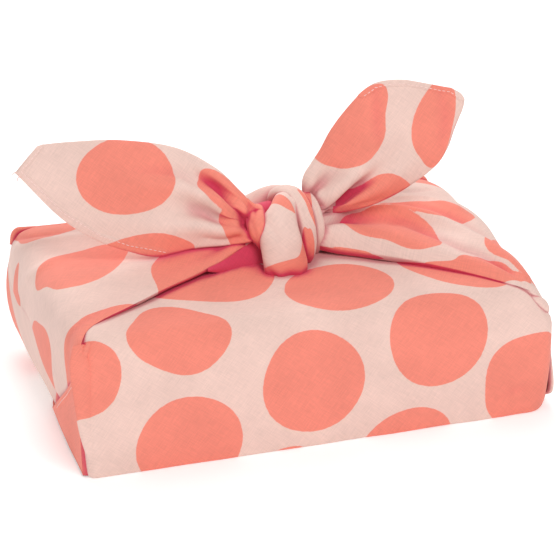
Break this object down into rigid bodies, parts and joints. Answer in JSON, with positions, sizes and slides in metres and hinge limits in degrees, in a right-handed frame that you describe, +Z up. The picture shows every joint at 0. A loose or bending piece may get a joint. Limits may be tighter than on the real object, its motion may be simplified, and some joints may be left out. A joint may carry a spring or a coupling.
{
  "type": "knotted fabric gift wrap",
  "caption": "Square of spotted cotton wrapped round a flat box and tied on top in a knot with two ear-shaped corners.",
  "frame": {"origin": "middle of the flat base, on the surface that the wrapped parcel stands on", "axes": "+X along the length towards the end under the upright ear, -Y is the front with the smooth panel, +Z up"},
  "size_m": [0.2677, 0.177, 0.1625],
  "materials": {
    "printed_cotton": "matte"
  },
  "bodies": {
    "root": {"wrap_cloth": "printed_cotton"}
  },
  "joints": []
}
